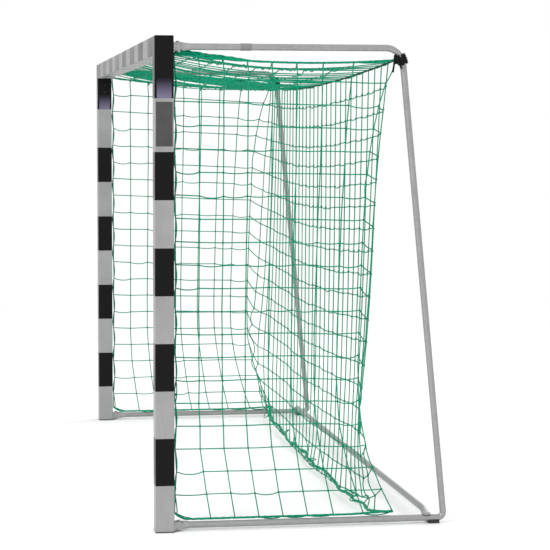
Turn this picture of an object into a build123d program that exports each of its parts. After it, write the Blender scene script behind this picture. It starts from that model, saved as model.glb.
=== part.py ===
"""Free-standing 3 x 2 m hall goal: square posts, round folding net brackets, rear ground bar and net.

Millimetres. +X runs along the crossbar, +Z is up, the mouth faces -Y and the net is towards +Y.
The origin is on the floor under the middle of the goal's box.
"""

from build123d import *
import math
import os

# ---------------------------------------------------------------- driving dimensions
OPENING_WIDTH = 3000  # clear width between the posts
OPENING_HEIGHT = 2000  # clear height under the crossbar
DEPTH = 1266  # front of the posts to the back of the rear legs
PROFILE = 80  # square post and crossbar section
PROFILE_WALL = 3
PROFILE_RADIUS = 4
FOOT_CAP = 5  # plastic cap under each post
FOOT_PLUG = 13  # how far the cap reaches up into the post
BAND = 200  # length of one colour band
BAR_CORNER_BAND = 280  # dark band at each end of the crossbar, measured on the outside
POST_CORNER_BAND = 258  # the same at the top of each post
FILM = 0.3  # thickness of the dark film

TUBE = 28  # outside diameter of the bracket tubes and the rear bar
TUBE_WALL = 2
TOP_TUBE_Z = 2036
GROUND_TUBE_Z = 24
LEG_LEAN_RUN = 200  # how far the leg's foot stands behind its top
TOP_BEND = 75  # centre line radii of the leg's two bends
FOOT_BEND = 22
WELD_STUB = 5  # straight end of the leg piece beyond each bend
SLEEVE_SETBACK = 365  # front of the posts to the splice sleeve
SLEEVE_LENGTH = 46
SLEEVE_WALL = 1.5

HINGE_SETBACK = 22  # post's rear face to the hinge axis
LUG_PLATE = 6
LUG_PLATE_WIDTH = 66
LUG_HEIGHT = 36
LUG_EAR = 5
LUG_EAR_RADIUS = 15
LUG_STOP = 5  # side web that stops the swing towards +X
KNUCKLE_HEIGHT = 25.4
KNUCKLE_RADIUS = 14
KNUCKLE_BLOCK = 17  # length of the knuckle's part between the lug's ears
KNUCKLE_NECK = 33  # length over which the flattened end behind it turns round
KNUCKLE_END = (24, 36)  # width and height of that flattened end
BOLT_RADIUS = 5
RUNNING_GAP = 0.05  # radial clearance of a pin in a turning hole

PIVOT_TO_LEG = 76  # rear bar's pivot to the foot of the leg
PIVOT_RADIUS = 4
OPEN_PIVOT_GAP = 0.5  # radial clearance at the linkage's open pivot
SPACER = 1  # nylon washer between the ground tube and the rear bar
PADDLE = 5  # thickness of the bar's flattened ends
PADDLE_RADIUS = 18
PADDLE_NECK = 45

HOOK_PITCH = 200
HOOK_BASE = (14, 24, 3)
HOOK_WIRE = 2.5

NET = 3  # thickness of the plain net panels
NET_GAP = 100  # the rear panel stops one mesh short of the side panels

# ---------------------------------------------------------------- derived places
HALF_WIDTH = OPENING_WIDTH / 2 + PROFILE
HEIGHT = OPENING_HEIGHT + PROFILE
POST_X = OPENING_WIDTH / 2 + PROFILE / 2
FRONT = -DEPTH / 2
POST_FRONT = FRONT + FILM
POST_REAR = POST_FRONT + PROFILE
POST_Y = (POST_FRONT + POST_REAR) / 2
CROSSBAR_Z = OPENING_HEIGHT + PROFILE / 2
HINGE_Y = POST_REAR + HINGE_SETBACK
LEAN = math.atan(LEG_LEAN_RUN / (TOP_TUBE_Z - GROUND_TUBE_Z))
FOOT_TANGENT = FOOT_BEND / math.tan((math.pi / 2 - LEAN) / 2)
TOP_TANGENT = TOP_BEND * math.tan((math.pi / 2 - LEAN) / 2)
LEG_FOOT_Y = DEPTH / 2 - TUBE / 2 + FOOT_TANGENT - FOOT_BEND
LEG_TOP_Y = LEG_FOOT_Y - LEG_LEAN_RUN
PIVOT_Y = LEG_FOOT_Y - PIVOT_TO_LEG
TUBE_START_Y = HINGE_Y + KNUCKLE_BLOCK + KNUCKLE_NECK
TOP_TUBE_END_Y = LEG_TOP_Y - TOP_TANGENT - WELD_STUB
GROUND_TUBE_END_Y = LEG_FOOT_Y - FOOT_TANGENT - WELD_STUB
PADDLE_Z = GROUND_TUBE_Z + TUBE / 2 + SPACER
REAR_BAR_Z = PADDLE_Z + TUBE / 2
SIDES = {"left": -1, "right": 1}
HINGE_LEVELS = {"top": TOP_TUBE_Z, "bottom": GROUND_TUBE_Z}

os.makedirs("parts", exist_ok=True)


def save(builder, name):
    """Labels a finished piece and writes it to its own STEP file."""
    builder.part.label = name
    export_step(builder.part, f"parts/{name}.step")


def across(x, y, z):
    """A plane at (x, y, z) that faces +Y, with its own x along +X."""
    return Plane(origin=(x, y, z), x_dir=(1, 0, 0), z_dir=(0, 1, 0))


def mitre(side):
    """The 45 degree plane through one top corner, facing the post."""
    return Plane(origin=(side * OPENING_WIDTH / 2, 0, OPENING_HEIGHT), z_dir=(side, 0, -1))


def is_dark(distance):
    """Tells whether a place this far from the floor on a post, or from a corner band's end, is dark."""
    return int(distance // BAND) % 2 == 1


def square_ring(size, radius, wall):
    """Draws a rounded square with a square hole in the current sketch."""
    RectangleRounded(size, size, radius)
    RectangleRounded(size - 2 * wall, size - 2 * wall, max(radius - wall, 0.5), mode=Mode.SUBTRACT)


# ---------------------------------------------------------------- posts, crossbar and their inner parts
CORNER_SCREW_RADIUS = 4
CORNER_SCREW_OFFSETS = (40, 80)  # from the inner corner
LUG_SCREW_RADIUS = 3
LUG_SCREW_X = 26
CONNECTOR_THICKNESS = 12
CONNECTOR_WIDTH = 70
CONNECTOR_LEG = 130
FIT = 0.1  # slack of the connector in its profile


def corner_screw_places(side):
    """Planes at the screw heads of one corner, each facing into the profile."""
    inner_x = side * OPENING_WIDTH / 2
    places = []
    for offset in CORNER_SCREW_OFFSETS:
        on_post = (inner_x, POST_Y, OPENING_HEIGHT - offset)
        on_bar = (inner_x - side * offset, POST_Y, OPENING_HEIGHT)
        places.append(Plane(origin=on_post, z_dir=(side, 0, 0)))
        places.append(Plane(origin=on_bar, z_dir=(0, 0, 1)))
    return places


def lug_screw_places(side):
    """Planes on the post's rear face at the lug screws, each facing into the post."""
    places = []
    for level in HINGE_LEVELS.values():
        for offset in (-LUG_SCREW_X, LUG_SCREW_X):
            origin = (side * POST_X + offset, POST_REAR, level)
            places.append(Plane(origin=origin, z_dir=(0, -1, 0)))
    return places


for side_name, side in SIDES.items():
    with BuildPart() as post:
        with BuildSketch(Plane.XY.offset(FOOT_CAP)):
            with Locations((side * POST_X, POST_Y)):
                square_ring(PROFILE, PROFILE_RADIUS, PROFILE_WALL)
        extrude(amount=HEIGHT - FOOT_CAP)
        split(bisect_by=mitre(side), keep=Keep.TOP)
        for place in corner_screw_places(side)[::2]:
            with BuildSketch(place):
                Circle(CORNER_SCREW_RADIUS)
            extrude(amount=PROFILE_WALL, mode=Mode.SUBTRACT)
        for place in lug_screw_places(side):
            with BuildSketch(place):
                Circle(LUG_SCREW_RADIUS)
            extrude(amount=PROFILE_WALL, mode=Mode.SUBTRACT)
    save(post, f"post_{side_name}")

with BuildPart() as crossbar:
    with BuildSketch(Plane.YZ.offset(-HALF_WIDTH)):
        with Locations((POST_Y, CROSSBAR_Z)):
            square_ring(PROFILE, PROFILE_RADIUS, PROFILE_WALL)
    extrude(amount=2 * HALF_WIDTH)
    for side in SIDES.values():
        split(bisect_by=mitre(side), keep=Keep.BOTTOM)
        for place in corner_screw_places(side)[1::2]:
            with BuildSketch(place):
                Circle(CORNER_SCREW_RADIUS)
            extrude(amount=PROFILE_WALL, mode=Mode.SUBTRACT)
        # the top lugs straddle the mitre, so one screw of each is in the crossbar
        for place in lug_screw_places(side)[:2]:
            with BuildSketch(place):
                Circle(LUG_SCREW_RADIUS)
            extrude(amount=PROFILE_WALL, mode=Mode.SUBTRACT)
save(crossbar, "crossbar")

with BuildPart() as corner_connectors:
    for side in SIDES.values():
        inner = OPENING_WIDTH / 2 + PROFILE_WALL + FIT
        floor = OPENING_HEIGHT + PROFILE_WALL + FIT
        with BuildSketch(across(0, POST_Y - CONNECTOR_WIDTH / 2, 0)):
            with BuildLine():
                # the sketch plane's own y points down
                Polyline(
                    (side * inner, -(floor - CONNECTOR_LEG)),
                    (side * (inner + CONNECTOR_THICKNESS), -(floor - CONNECTOR_LEG)),
                    (side * (inner + CONNECTOR_THICKNESS), -(floor + CONNECTOR_THICKNESS)),
                    (side * (inner - CONNECTOR_LEG), -(floor + CONNECTOR_THICKNESS)),
                    (side * (inner - CONNECTOR_LEG), -floor),
                    (side * inner, -floor),
                    close=True,
                )
            make_face()
        extrude(amount=CONNECTOR_WIDTH)
        for place in corner_screw_places(side):
            with BuildSketch(place):
                Circle(CORNER_SCREW_RADIUS)
            extrude(amount=PROFILE_WALL + 2 * CONNECTOR_THICKNESS, mode=Mode.SUBTRACT)
save(corner_connectors, "corner_connectors")

with BuildPart() as corner_screws:
    for side in SIDES.values():
        for place in corner_screw_places(side):
            with BuildSketch(place.offset(-FILM)):
                Circle(CORNER_SCREW_RADIUS)
            extrude(amount=FILM + PROFILE_WALL + FIT + CONNECTOR_THICKNESS)
            with BuildSketch(place.offset(-FILM)):
                Circle(CORNER_SCREW_RADIUS * 1.8)
            extrude(amount=-CORNER_SCREW_RADIUS, taper=25)
save(corner_screws, "corner_screws")

with BuildPart() as foot_caps:
    for side in SIDES.values():
        with BuildSketch():
            with Locations((side * POST_X, POST_Y)):
                RectangleRounded(PROFILE, PROFILE, PROFILE_RADIUS)
        extrude(amount=FOOT_CAP)
        with BuildSketch(Plane.XY.offset(FOOT_CAP)):
            with Locations((side * POST_X, POST_Y)):
                square_ring(PROFILE - 2 * PROFILE_WALL - FIT, 1.5, 4)
        extrude(amount=FOOT_PLUG)
save(foot_caps, "foot_caps")

# ---------------------------------------------------------------- dark film bands and plain plates
for side_name, side in SIDES.items():
    with BuildPart() as post_film:
        for low in range(BAND, OPENING_HEIGHT - BAND, 2 * BAND):
            with BuildSketch(Plane.XY.offset(low)):
                with Locations((side * POST_X, POST_Y)):
                    square_ring(PROFILE + 2 * FILM, PROFILE_RADIUS + FILM, FILM)
            extrude(amount=BAND)
    save(post_film, f"post_film_{side_name}")

    with BuildPart() as bar_sleeve:
        with BuildSketch(Plane.YZ.offset(side * (HALF_WIDTH - BAR_CORNER_BAND))):
            with Locations((POST_Y, CROSSBAR_Z)):
                square_ring(PROFILE + 2 * FILM, PROFILE_RADIUS + FILM, FILM)
        extrude(amount=side * (BAR_CORNER_BAND + PROFILE))
        split(bisect_by=mitre(side), keep=Keep.BOTTOM)

    with BuildPart() as corner_film:
        with BuildSketch(Plane.XY.offset(HEIGHT - POST_CORNER_BAND)):
            with Locations((side * POST_X, POST_Y)):
                square_ring(PROFILE + 2 * FILM, PROFILE_RADIUS + FILM, FILM)
        extrude(amount=POST_CORNER_BAND + PROFILE)
        split(bisect_by=mitre(side), keep=Keep.TOP)
        add(bar_sleeve.part)
        for place in corner_screw_places(side):
            with BuildSketch(place.offset(-FILM)):
                Circle(CORNER_SCREW_RADIUS)
            extrude(amount=FILM, mode=Mode.SUBTRACT)
        for place in lug_screw_places(side)[:2]:
            with BuildSketch(place.offset(-FILM)):
                Circle(LUG_SCREW_RADIUS)
            extrude(amount=FILM, mode=Mode.SUBTRACT)
    save(corner_film, f"corner_film_{side_name}")

with BuildPart() as crossbar_film:
    first_dark = -HALF_WIDTH + BAR_CORNER_BAND + BAND
    dark_count = int((OPENING_WIDTH - 2 * BAND) // (2 * BAND))
    for index in range(dark_count):
        with BuildSketch(Plane.YZ.offset(first_dark + 2 * BAND * index)):
            with Locations((POST_Y, CROSSBAR_Z)):
                square_ring(PROFILE + 2 * FILM, PROFILE_RADIUS + FILM, FILM)
        extrude(amount=BAND)
save(crossbar_film, "crossbar_film")

NOTICE_PLATE = (70, 184, 1.0)
NOTICE_PLATE_Z = 1715
LABEL = (62, 80, 0.3)
LABEL_Z = 1863

with BuildPart() as notice_plate:
    with BuildSketch(Plane.YZ.offset(HALF_WIDTH)):
        with Locations((POST_Y, NOTICE_PLATE_Z)):
            RectangleRounded(NOTICE_PLATE[0], NOTICE_PLATE[1], 3)
    extrude(amount=NOTICE_PLATE[2])
save(notice_plate, "notice_plate")

with BuildPart() as plain_labels:
    for label_x in (-OPENING_WIDTH / 2 + FILM, HALF_WIDTH + FILM):
        with BuildSketch(Plane.YZ.offset(label_x)):
            with Locations((POST_Y, LABEL_Z)):
                RectangleRounded(LABEL[0], LABEL[1], 4)
        extrude(amount=LABEL[2])
save(plain_labels, "plain_labels")

# ---------------------------------------------------------------- hinges behind the posts
for side_name, side in SIDES.items():
    for level_name, level in HINGE_LEVELS.items():
        # the top lugs sit on film, the bottom ones on the bare post
        seat = FILM if level_name == "top" else 0
        with BuildPart() as lug:
            with BuildSketch(across(side * POST_X, POST_REAR + seat, level)):
                RectangleRounded(LUG_PLATE_WIDTH, LUG_HEIGHT, 3)
            extrude(amount=LUG_PLATE - seat)
            for ear_low in (level - LUG_HEIGHT / 2, level + LUG_HEIGHT / 2 - LUG_EAR):
                with BuildSketch(Plane.XY.offset(ear_low)):
                    with Locations((side * POST_X, HINGE_Y)):
                        Circle(LUG_EAR_RADIUS)
                    with Locations((side * POST_X, POST_REAR + LUG_PLATE)):
                        Rectangle(
                            2 * LUG_EAR_RADIUS, HINGE_SETBACK - LUG_PLATE, align=(Align.CENTER, Align.MIN)
                        )
                    with Locations((side * POST_X, HINGE_Y)):
                        Circle(BOLT_RADIUS, mode=Mode.SUBTRACT)
                extrude(amount=LUG_EAR)
            # the stop is on the +X side of every lug, so all brackets swing towards -X
            with BuildSketch(Plane.XY.offset(level - LUG_HEIGHT / 2)):
                with Locations((side * POST_X + LUG_EAR_RADIUS, POST_REAR + LUG_PLATE)):
                    Rectangle(LUG_STOP, HINGE_SETBACK, align=(Align.MIN, Align.MIN))
            extrude(amount=LUG_HEIGHT)
            for place in lug_screw_places(side):
                with BuildSketch(place.offset(-LUG_PLATE)):
                    Circle(LUG_SCREW_RADIUS)
                extrude(amount=LUG_PLATE, mode=Mode.SUBTRACT)
        save(lug, f"hinge_lug_{level_name}_{side_name}")

        with BuildPart() as knuckle:
            with BuildSketch(Plane.XY.offset(level - KNUCKLE_HEIGHT / 2)):
                with Locations((side * POST_X, HINGE_Y)):
                    Circle(KNUCKLE_RADIUS)
                    Rectangle(
                        2 * KNUCKLE_RADIUS - 2, KNUCKLE_BLOCK, align=(Align.CENTER, Align.MIN)
                    )
            extrude(amount=KNUCKLE_HEIGHT)
            with BuildSketch(across(side * POST_X, HINGE_Y + KNUCKLE_BLOCK, level)):
                RectangleRounded(*KNUCKLE_END, 4)
            with BuildSketch(across(side * POST_X, TUBE_START_Y, level)):
                Circle(TUBE / 2)
            loft()
            with BuildSketch(Plane.XY.offset(level - KNUCKLE_HEIGHT / 2)):
                with Locations((side * POST_X, HINGE_Y)):
                    Circle(BOLT_RADIUS + RUNNING_GAP)
            extrude(amount=KNUCKLE_HEIGHT, mode=Mode.SUBTRACT)
        save(knuckle, f"knuckle_{level_name}_{side_name}")

with BuildPart() as lug_screws:
    for side in SIDES.values():
        for place in lug_screw_places(side):
            with BuildSketch(place.offset(-LUG_PLATE)):
                Circle(LUG_SCREW_RADIUS)
            extrude(amount=LUG_PLATE + PROFILE_WALL + 4)
            with BuildSketch(place.offset(-LUG_PLATE)):
                Circle(LUG_SCREW_RADIUS * 1.8)
            extrude(amount=-LUG_SCREW_RADIUS, taper=20)
save(lug_screws, "lug_screws")

BOLT_HEAD = 5
BOLT_HEAD_RADIUS = 9.5
BOLT_NUT = 4.5

with BuildPart() as hinge_bolts:
    for side in SIDES.values():
        for level in HINGE_LEVELS.values():
            with BuildSketch(Plane.XY.offset(level - LUG_HEIGHT / 2 - BOLT_NUT)):
                with Locations((side * POST_X, HINGE_Y)):
                    Circle(BOLT_RADIUS)
            extrude(amount=LUG_HEIGHT + BOLT_NUT)
            with BuildSketch(Plane.XY.offset(level + LUG_HEIGHT / 2)):
                with Locations((side * POST_X, HINGE_Y)):
                    RegularPolygon(BOLT_HEAD_RADIUS, 6)
            extrude(amount=BOLT_HEAD)
save(hinge_bolts, "hinge_bolts")

with BuildPart() as hinge_nuts:
    for side in SIDES.values():
        for level in HINGE_LEVELS.values():
            with BuildSketch(Plane.XY.offset(level - LUG_HEIGHT / 2 - BOLT_NUT)):
                with Locations((side * POST_X, HINGE_Y)):
                    RegularPolygon(BOLT_HEAD_RADIUS, 6)
                    Circle(BOLT_RADIUS, mode=Mode.SUBTRACT)
            extrude(amount=BOLT_NUT)
save(hinge_nuts, "hinge_nuts")

# ---------------------------------------------------------------- net brackets
FOOT_PAD = (26, 46, 16)
FOOT_PAD_TO_LEG = 43  # middle of the pad to the foot of the leg
TIE_DROP = 60  # top tube's axis to the middle of the corner tie
TIE_HEIGHT = 30
TIE_ROPE = 7
TIE_SLACK = 0.4  # between the tie and the bent tube that it is wound on
PIVOT_HEAD = 5.3
PIVOT_NUT = 6
PIVOT_HEX_RADIUS = 7.5

leg_direction = Vector(0, -math.sin(LEAN), math.cos(LEAN))
tie_middle = Vector(0, LEG_TOP_Y, TOP_TUBE_Z) - leg_direction * TIE_DROP


def straight_tube(x, start_y, end_y, z):
    """Adds a hollow tube along +Y to the current part."""
    with BuildSketch(across(x, start_y, z)) as section:
        Circle(TUBE / 2)
        Circle(TUBE / 2 - TUBE_WALL, mode=Mode.SUBTRACT)
    extrude(section.sketch, amount=end_y - start_y)


for side_name, side in SIDES.items():
    x = side * POST_X

    with BuildPart() as top_tube:
        straight_tube(x, TUBE_START_Y, TOP_TUBE_END_Y, TOP_TUBE_Z)
    save(top_tube, f"top_tube_{side_name}")

    with BuildPart() as splice_sleeve:
        with BuildSketch(across(x, FRONT + SLEEVE_SETBACK, TOP_TUBE_Z)):
            Circle(TUBE / 2 + SLEEVE_WALL)
            Circle(TUBE / 2, mode=Mode.SUBTRACT)
        extrude(amount=SLEEVE_LENGTH)
    save(splice_sleeve, f"splice_sleeve_{side_name}")

    with BuildPart() as rear_leg:
        with BuildLine() as leg_path:
            FilletPolyline(
                (x, TOP_TUBE_END_Y, TOP_TUBE_Z),
                (x, LEG_TOP_Y, TOP_TUBE_Z),
                (x, LEG_FOOT_Y, GROUND_TUBE_Z),
                (x, GROUND_TUBE_END_Y, GROUND_TUBE_Z),
                radius=[TOP_BEND, FOOT_BEND],
            )
        with BuildSketch(across(x, TOP_TUBE_END_Y, TOP_TUBE_Z)):
            Circle(TUBE / 2)
            Circle(TUBE / 2 - TUBE_WALL, mode=Mode.SUBTRACT)
        sweep(path=leg_path.wires()[0])
    save(rear_leg, f"rear_leg_{side_name}")

    with BuildPart() as ground_tube:
        straight_tube(x, TUBE_START_Y, GROUND_TUBE_END_Y, GROUND_TUBE_Z)
        with BuildSketch():
            with Locations((x, PIVOT_Y)):
                Circle(PIVOT_RADIUS)
        extrude(amount=GROUND_TUBE_Z + TUBE, mode=Mode.SUBTRACT)
    save(ground_tube, f"ground_tube_{side_name}")

    with BuildPart() as rubber_foot:
        with BuildSketch():
            with Locations((x, LEG_FOOT_Y - FOOT_PAD_TO_LEG)):
                RectangleRounded(FOOT_PAD[0], FOOT_PAD[1], 3)
        extrude(amount=FOOT_PAD[2])
        with BuildSketch(across(x, LEG_FOOT_Y - 2 * FOOT_PAD_TO_LEG, GROUND_TUBE_Z)):
            Circle(TUBE / 2)
        extrude(amount=2 * FOOT_PAD_TO_LEG, mode=Mode.SUBTRACT)
    save(rubber_foot, f"rubber_foot_{side_name}")

    with BuildPart() as corner_tie:
        tie_plane = Plane(
            origin=tie_middle - leg_direction * TIE_HEIGHT / 2 + Vector(x, 0, 0),
            x_dir=(1, 0, 0),
            z_dir=leg_direction,
        )
        with BuildSketch(tie_plane):
            Circle(TUBE / 2 + TIE_ROPE)
        extrude(amount=TIE_HEIGHT)
        with BuildSketch(tie_plane):
            with Locations((0, -(TUBE / 2 + TIE_ROPE + 8))):
                RectangleRounded(2 * TIE_ROPE, 26, 4)
        extrude(amount=2 * TIE_ROPE)
        with BuildSketch(across(x, TOP_TUBE_END_Y, TOP_TUBE_Z)):
            Circle(TUBE / 2 + TIE_SLACK)
        sweep(path=leg_path.wires()[0], mode=Mode.SUBTRACT)
    save(corner_tie, f"corner_tie_{side_name}")

    with BuildPart() as pivot_bolt:
        with BuildSketch(Plane.XY.offset(GROUND_TUBE_Z - TUBE / 2 - PIVOT_NUT)):
            with Locations((x, PIVOT_Y)):
                Circle(PIVOT_RADIUS)
        extrude(amount=TUBE + SPACER + PADDLE + PIVOT_NUT)
        with BuildSketch(Plane.XY.offset(PADDLE_Z + PADDLE)):
            with Locations((x, PIVOT_Y)):
                RegularPolygon(PIVOT_HEX_RADIUS, 6)
        extrude(amount=PIVOT_HEAD)
    save(pivot_bolt, f"pivot_bolt_{side_name}")

    with BuildPart() as pivot_nut:
        with BuildSketch(Plane.XY.offset(GROUND_TUBE_Z - TUBE / 2 - PIVOT_NUT)):
            with Locations((x, PIVOT_Y)):
                RegularPolygon(PIVOT_HEX_RADIUS, 6)
                Circle(PIVOT_RADIUS, mode=Mode.SUBTRACT)
        extrude(amount=PIVOT_NUT)
    save(pivot_nut, f"pivot_nut_{side_name}")

    with BuildPart() as pivot_spacer:
        with BuildSketch(Plane.XY.offset(GROUND_TUBE_Z + TUBE / 2)):
            with Locations((x, PIVOT_Y)):
                Circle(3 * PIVOT_RADIUS)
                Circle(PIVOT_RADIUS, mode=Mode.SUBTRACT)
        extrude(amount=SPACER)
    save(pivot_spacer, f"pivot_spacer_{side_name}")

# ---------------------------------------------------------------- rear ground bar
with BuildPart() as rear_bar:
    tube_half = POST_X - PADDLE_RADIUS - PADDLE_NECK
    with BuildSketch(Plane.YZ.offset(-tube_half)):
        with Locations((PIVOT_Y, REAR_BAR_Z)):
            Circle(TUBE / 2)
            Circle(TUBE / 2 - TUBE_WALL, mode=Mode.SUBTRACT)
    extrude(amount=2 * tube_half)
    for side in SIDES.values():
        with BuildSketch(Plane.YZ.offset(side * tube_half)):
            with Locations((PIVOT_Y, REAR_BAR_Z)):
                Circle(TUBE / 2)
        with BuildSketch(Plane.YZ.offset(side * (POST_X - PADDLE_RADIUS))):
            with Locations((PIVOT_Y, PADDLE_Z + PADDLE / 2)):
                Ellipse(PADDLE_RADIUS, PADDLE / 2)
        loft()
        hole_radius = PIVOT_RADIUS + (OPEN_PIVOT_GAP if side > 0 else RUNNING_GAP)
        with BuildSketch(Plane.XY.offset(PADDLE_Z)):
            with Locations((side * POST_X, PIVOT_Y)):
                Circle(PADDLE_RADIUS)
            with Locations((side * (POST_X - PADDLE_RADIUS / 2), PIVOT_Y)):
                Rectangle(PADDLE_RADIUS, 2 * PADDLE_RADIUS)
            with Locations((side * POST_X, PIVOT_Y)):
                Circle(hole_radius, mode=Mode.SUBTRACT)
        extrude(amount=PADDLE)
save(rear_bar, "rear_bar")

# ---------------------------------------------------------------- net hooks
HOOK_REACH = 12  # base plate to the outside of the hook's curl


def hook(plane):
    """Adds one hook: a base plate on the plane, and a wire that runs out and curls back up."""
    with BuildSketch(plane) as base:
        RectangleRounded(HOOK_BASE[0], HOOK_BASE[1], 2)
    extrude(base.sketch, amount=HOOK_BASE[2])
    start = plane.from_local_coords(Vector(0, -4, HOOK_BASE[2] - 1))
    bottom = plane.from_local_coords(Vector(0, -4, HOOK_BASE[2] + HOOK_REACH / 3))
    side_point = plane.from_local_coords(Vector(0, 0, HOOK_BASE[2] + HOOK_REACH / 3 + 4))
    top = plane.from_local_coords(Vector(0, 4, HOOK_BASE[2] + HOOK_REACH / 3 + 1))
    with BuildLine() as wire:
        stem = Line(start, bottom)
        ThreePointArc(stem @ 1, side_point, top)
    with BuildSketch(Plane(origin=start, z_dir=plane.z_dir)) as section:
        Circle(HOOK_WIRE)
    sweep(section.sketch, path=wire.wires()[0])


for side_name, side in SIDES.items():
    with BuildPart() as post_hooks:
        for index in range(9):
            z = HOOK_PITCH * (index + 1) - 20
            seat = FILM if is_dark(z) else 0
            face = Plane(
                origin=(side * (POST_X - 8), POST_REAR + seat, z), x_dir=(-1, 0, 0), z_dir=(0, 1, 0)
            )
            hook(face)
    save(post_hooks, f"net_hooks_{side_name}")

with BuildPart() as crossbar_hooks:
    bar_hook_count = int((OPENING_WIDTH - HOOK_PITCH) // HOOK_PITCH) + 1
    for index in range(bar_hook_count):
        hook_x = -OPENING_WIDTH / 2 + HOOK_PITCH / 2 + HOOK_PITCH * index
        on_corner_film = abs(hook_x) > HALF_WIDTH - BAR_CORNER_BAND
        on_bar_film = is_dark(hook_x + HALF_WIDTH - BAR_CORNER_BAND)
        seat = FILM if on_corner_film or on_bar_film else 0
        face = Plane(
            origin=(hook_x, POST_REAR + seat, OPENING_HEIGHT + 22), x_dir=(-1, 0, 0), z_dir=(0, 1, 0)
        )
        hook(face)
save(crossbar_hooks, "net_hooks_crossbar")

# ---------------------------------------------------------------- plain net panels
NET_FRONT_Y = POST_REAR + 18
NET_LOW_Z = 58
REAR_NET_HIGH_Z = 1890
NET_CORNER = (HINGE_Y + 880, 1962)
# the net hangs in a shallow curve: drawn back at its top and foot, slack between
NET_TOP_Y = HINGE_Y + 862
NET_BELLY_Y = HINGE_Y + 770
NET_BELLY_Z = 800
TOP_NET_FRONT_Z = 1992
TOP_NET_SAG_Z = 1905
TOP_NET_REAR = (HINGE_Y + 850, 1935)
TOP_NET_HALF_WIDTH = OPENING_WIDTH / 2 - 10
MID_GAP = 1

for side_name, side in SIDES.items():
    with BuildPart() as net_side:
        with BuildSketch(Plane.YZ.offset(side * POST_X - NET / 2)):
            with BuildLine():
                foot = (NET_TOP_Y, NET_LOW_Z)
                high = (NET_TOP_Y, REAR_NET_HIGH_Z)
                front_high = (NET_FRONT_Y, 1990)
                Polyline(foot, (NET_FRONT_Y, NET_LOW_Z), front_high)
                ThreePointArc(front_high, ((NET_FRONT_Y + NET_CORNER[0]) / 2, 1952), NET_CORNER)
                Line(NET_CORNER, high)
                ThreePointArc(high, (NET_BELLY_Y, NET_BELLY_Z), foot)
            make_face()
        extrude(amount=NET)
    save(net_side, f"net_side_{side_name}")

    with BuildPart() as net_rear:
        with BuildSketch(Plane.YZ.offset(side * MID_GAP / 2)):
            with BuildLine():
                front_arc = ThreePointArc(
                    (NET_TOP_Y, REAR_NET_HIGH_Z), (NET_BELLY_Y, NET_BELLY_Z), (NET_TOP_Y, NET_LOW_Z)
                )
                Line(front_arc @ 1, (NET_TOP_Y + NET, NET_LOW_Z))
                ThreePointArc(
                    (NET_TOP_Y + NET, NET_LOW_Z),
                    (NET_BELLY_Y + NET, NET_BELLY_Z),
                    (NET_TOP_Y + NET, REAR_NET_HIGH_Z),
                )
                Line((NET_TOP_Y + NET, REAR_NET_HIGH_Z), front_arc @ 0)
            make_face()
        extrude(amount=side * (POST_X - NET_GAP))
    save(net_rear, f"net_rear_{side_name}")

with BuildPart() as net_top:
    with BuildSketch(Plane.YZ.offset(-TOP_NET_HALF_WIDTH)):
        with BuildLine():
            middle_y = (NET_FRONT_Y + TOP_NET_REAR[0]) / 2
            upper = ThreePointArc(
                (NET_FRONT_Y, TOP_NET_FRONT_Z), (middle_y, TOP_NET_SAG_Z), TOP_NET_REAR
            )
            Line(upper @ 1, (TOP_NET_REAR[0], TOP_NET_REAR[1] - NET))
            lower = ThreePointArc(
                (TOP_NET_REAR[0], TOP_NET_REAR[1] - NET),
                (middle_y, TOP_NET_SAG_Z - NET),
                (NET_FRONT_Y, TOP_NET_FRONT_Z - NET),
            )
            Line(lower @ 1, upper @ 0)
        make_face()
    extrude(amount=2 * TOP_NET_HALF_WIDTH)
save(net_top, "net_top")
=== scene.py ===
"""Blender scene of a free-standing 3 x 2 m hall goal with a hung cord net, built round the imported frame.

Metres. +X runs along the crossbar, +Z is up, the mouth faces -Y. The left side is at -X.
"""

import math

import bpy
import numpy as np
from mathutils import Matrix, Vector


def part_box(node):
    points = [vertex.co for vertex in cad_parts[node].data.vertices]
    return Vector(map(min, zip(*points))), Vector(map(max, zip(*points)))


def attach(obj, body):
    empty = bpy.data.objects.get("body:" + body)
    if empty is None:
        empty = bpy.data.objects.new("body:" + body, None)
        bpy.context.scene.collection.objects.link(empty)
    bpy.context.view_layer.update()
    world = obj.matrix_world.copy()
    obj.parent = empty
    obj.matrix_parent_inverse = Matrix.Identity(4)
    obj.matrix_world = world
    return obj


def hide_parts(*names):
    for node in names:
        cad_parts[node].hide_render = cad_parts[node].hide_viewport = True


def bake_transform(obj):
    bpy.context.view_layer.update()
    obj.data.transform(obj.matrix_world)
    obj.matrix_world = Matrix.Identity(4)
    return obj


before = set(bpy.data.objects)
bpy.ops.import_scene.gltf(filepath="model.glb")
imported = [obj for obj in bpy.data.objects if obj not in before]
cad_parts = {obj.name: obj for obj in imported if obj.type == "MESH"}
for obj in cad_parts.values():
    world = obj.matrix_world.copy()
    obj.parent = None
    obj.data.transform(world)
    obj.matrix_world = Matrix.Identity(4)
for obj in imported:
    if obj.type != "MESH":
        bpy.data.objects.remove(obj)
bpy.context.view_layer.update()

rng = np.random.default_rng(7)
SIDES = {"left": -1, "right": 1}

# ---------------------------------------------------------------- camera
LENS = 118.7
SHIFT_X = 0.1
CAMERA_PLACE = Vector((9.061, -1.438, 1.663))
CAMERA_YAW = math.radians(8.2)  # from -X towards +Y
CAMERA_PITCH = math.radians(4.36)  # downwards

# ---------------------------------------------------------------- places read from the frame
post_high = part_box("post_right")[1]
leg_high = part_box("rear_leg_right")[1]
tube_low, tube_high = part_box("ground_tube_right")
top_tube_low, top_tube_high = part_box("top_tube_right")
post_hooks_low, post_hooks_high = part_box("net_hooks_right")
bar_hooks_low, bar_hooks_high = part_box("net_hooks_crossbar")

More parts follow.
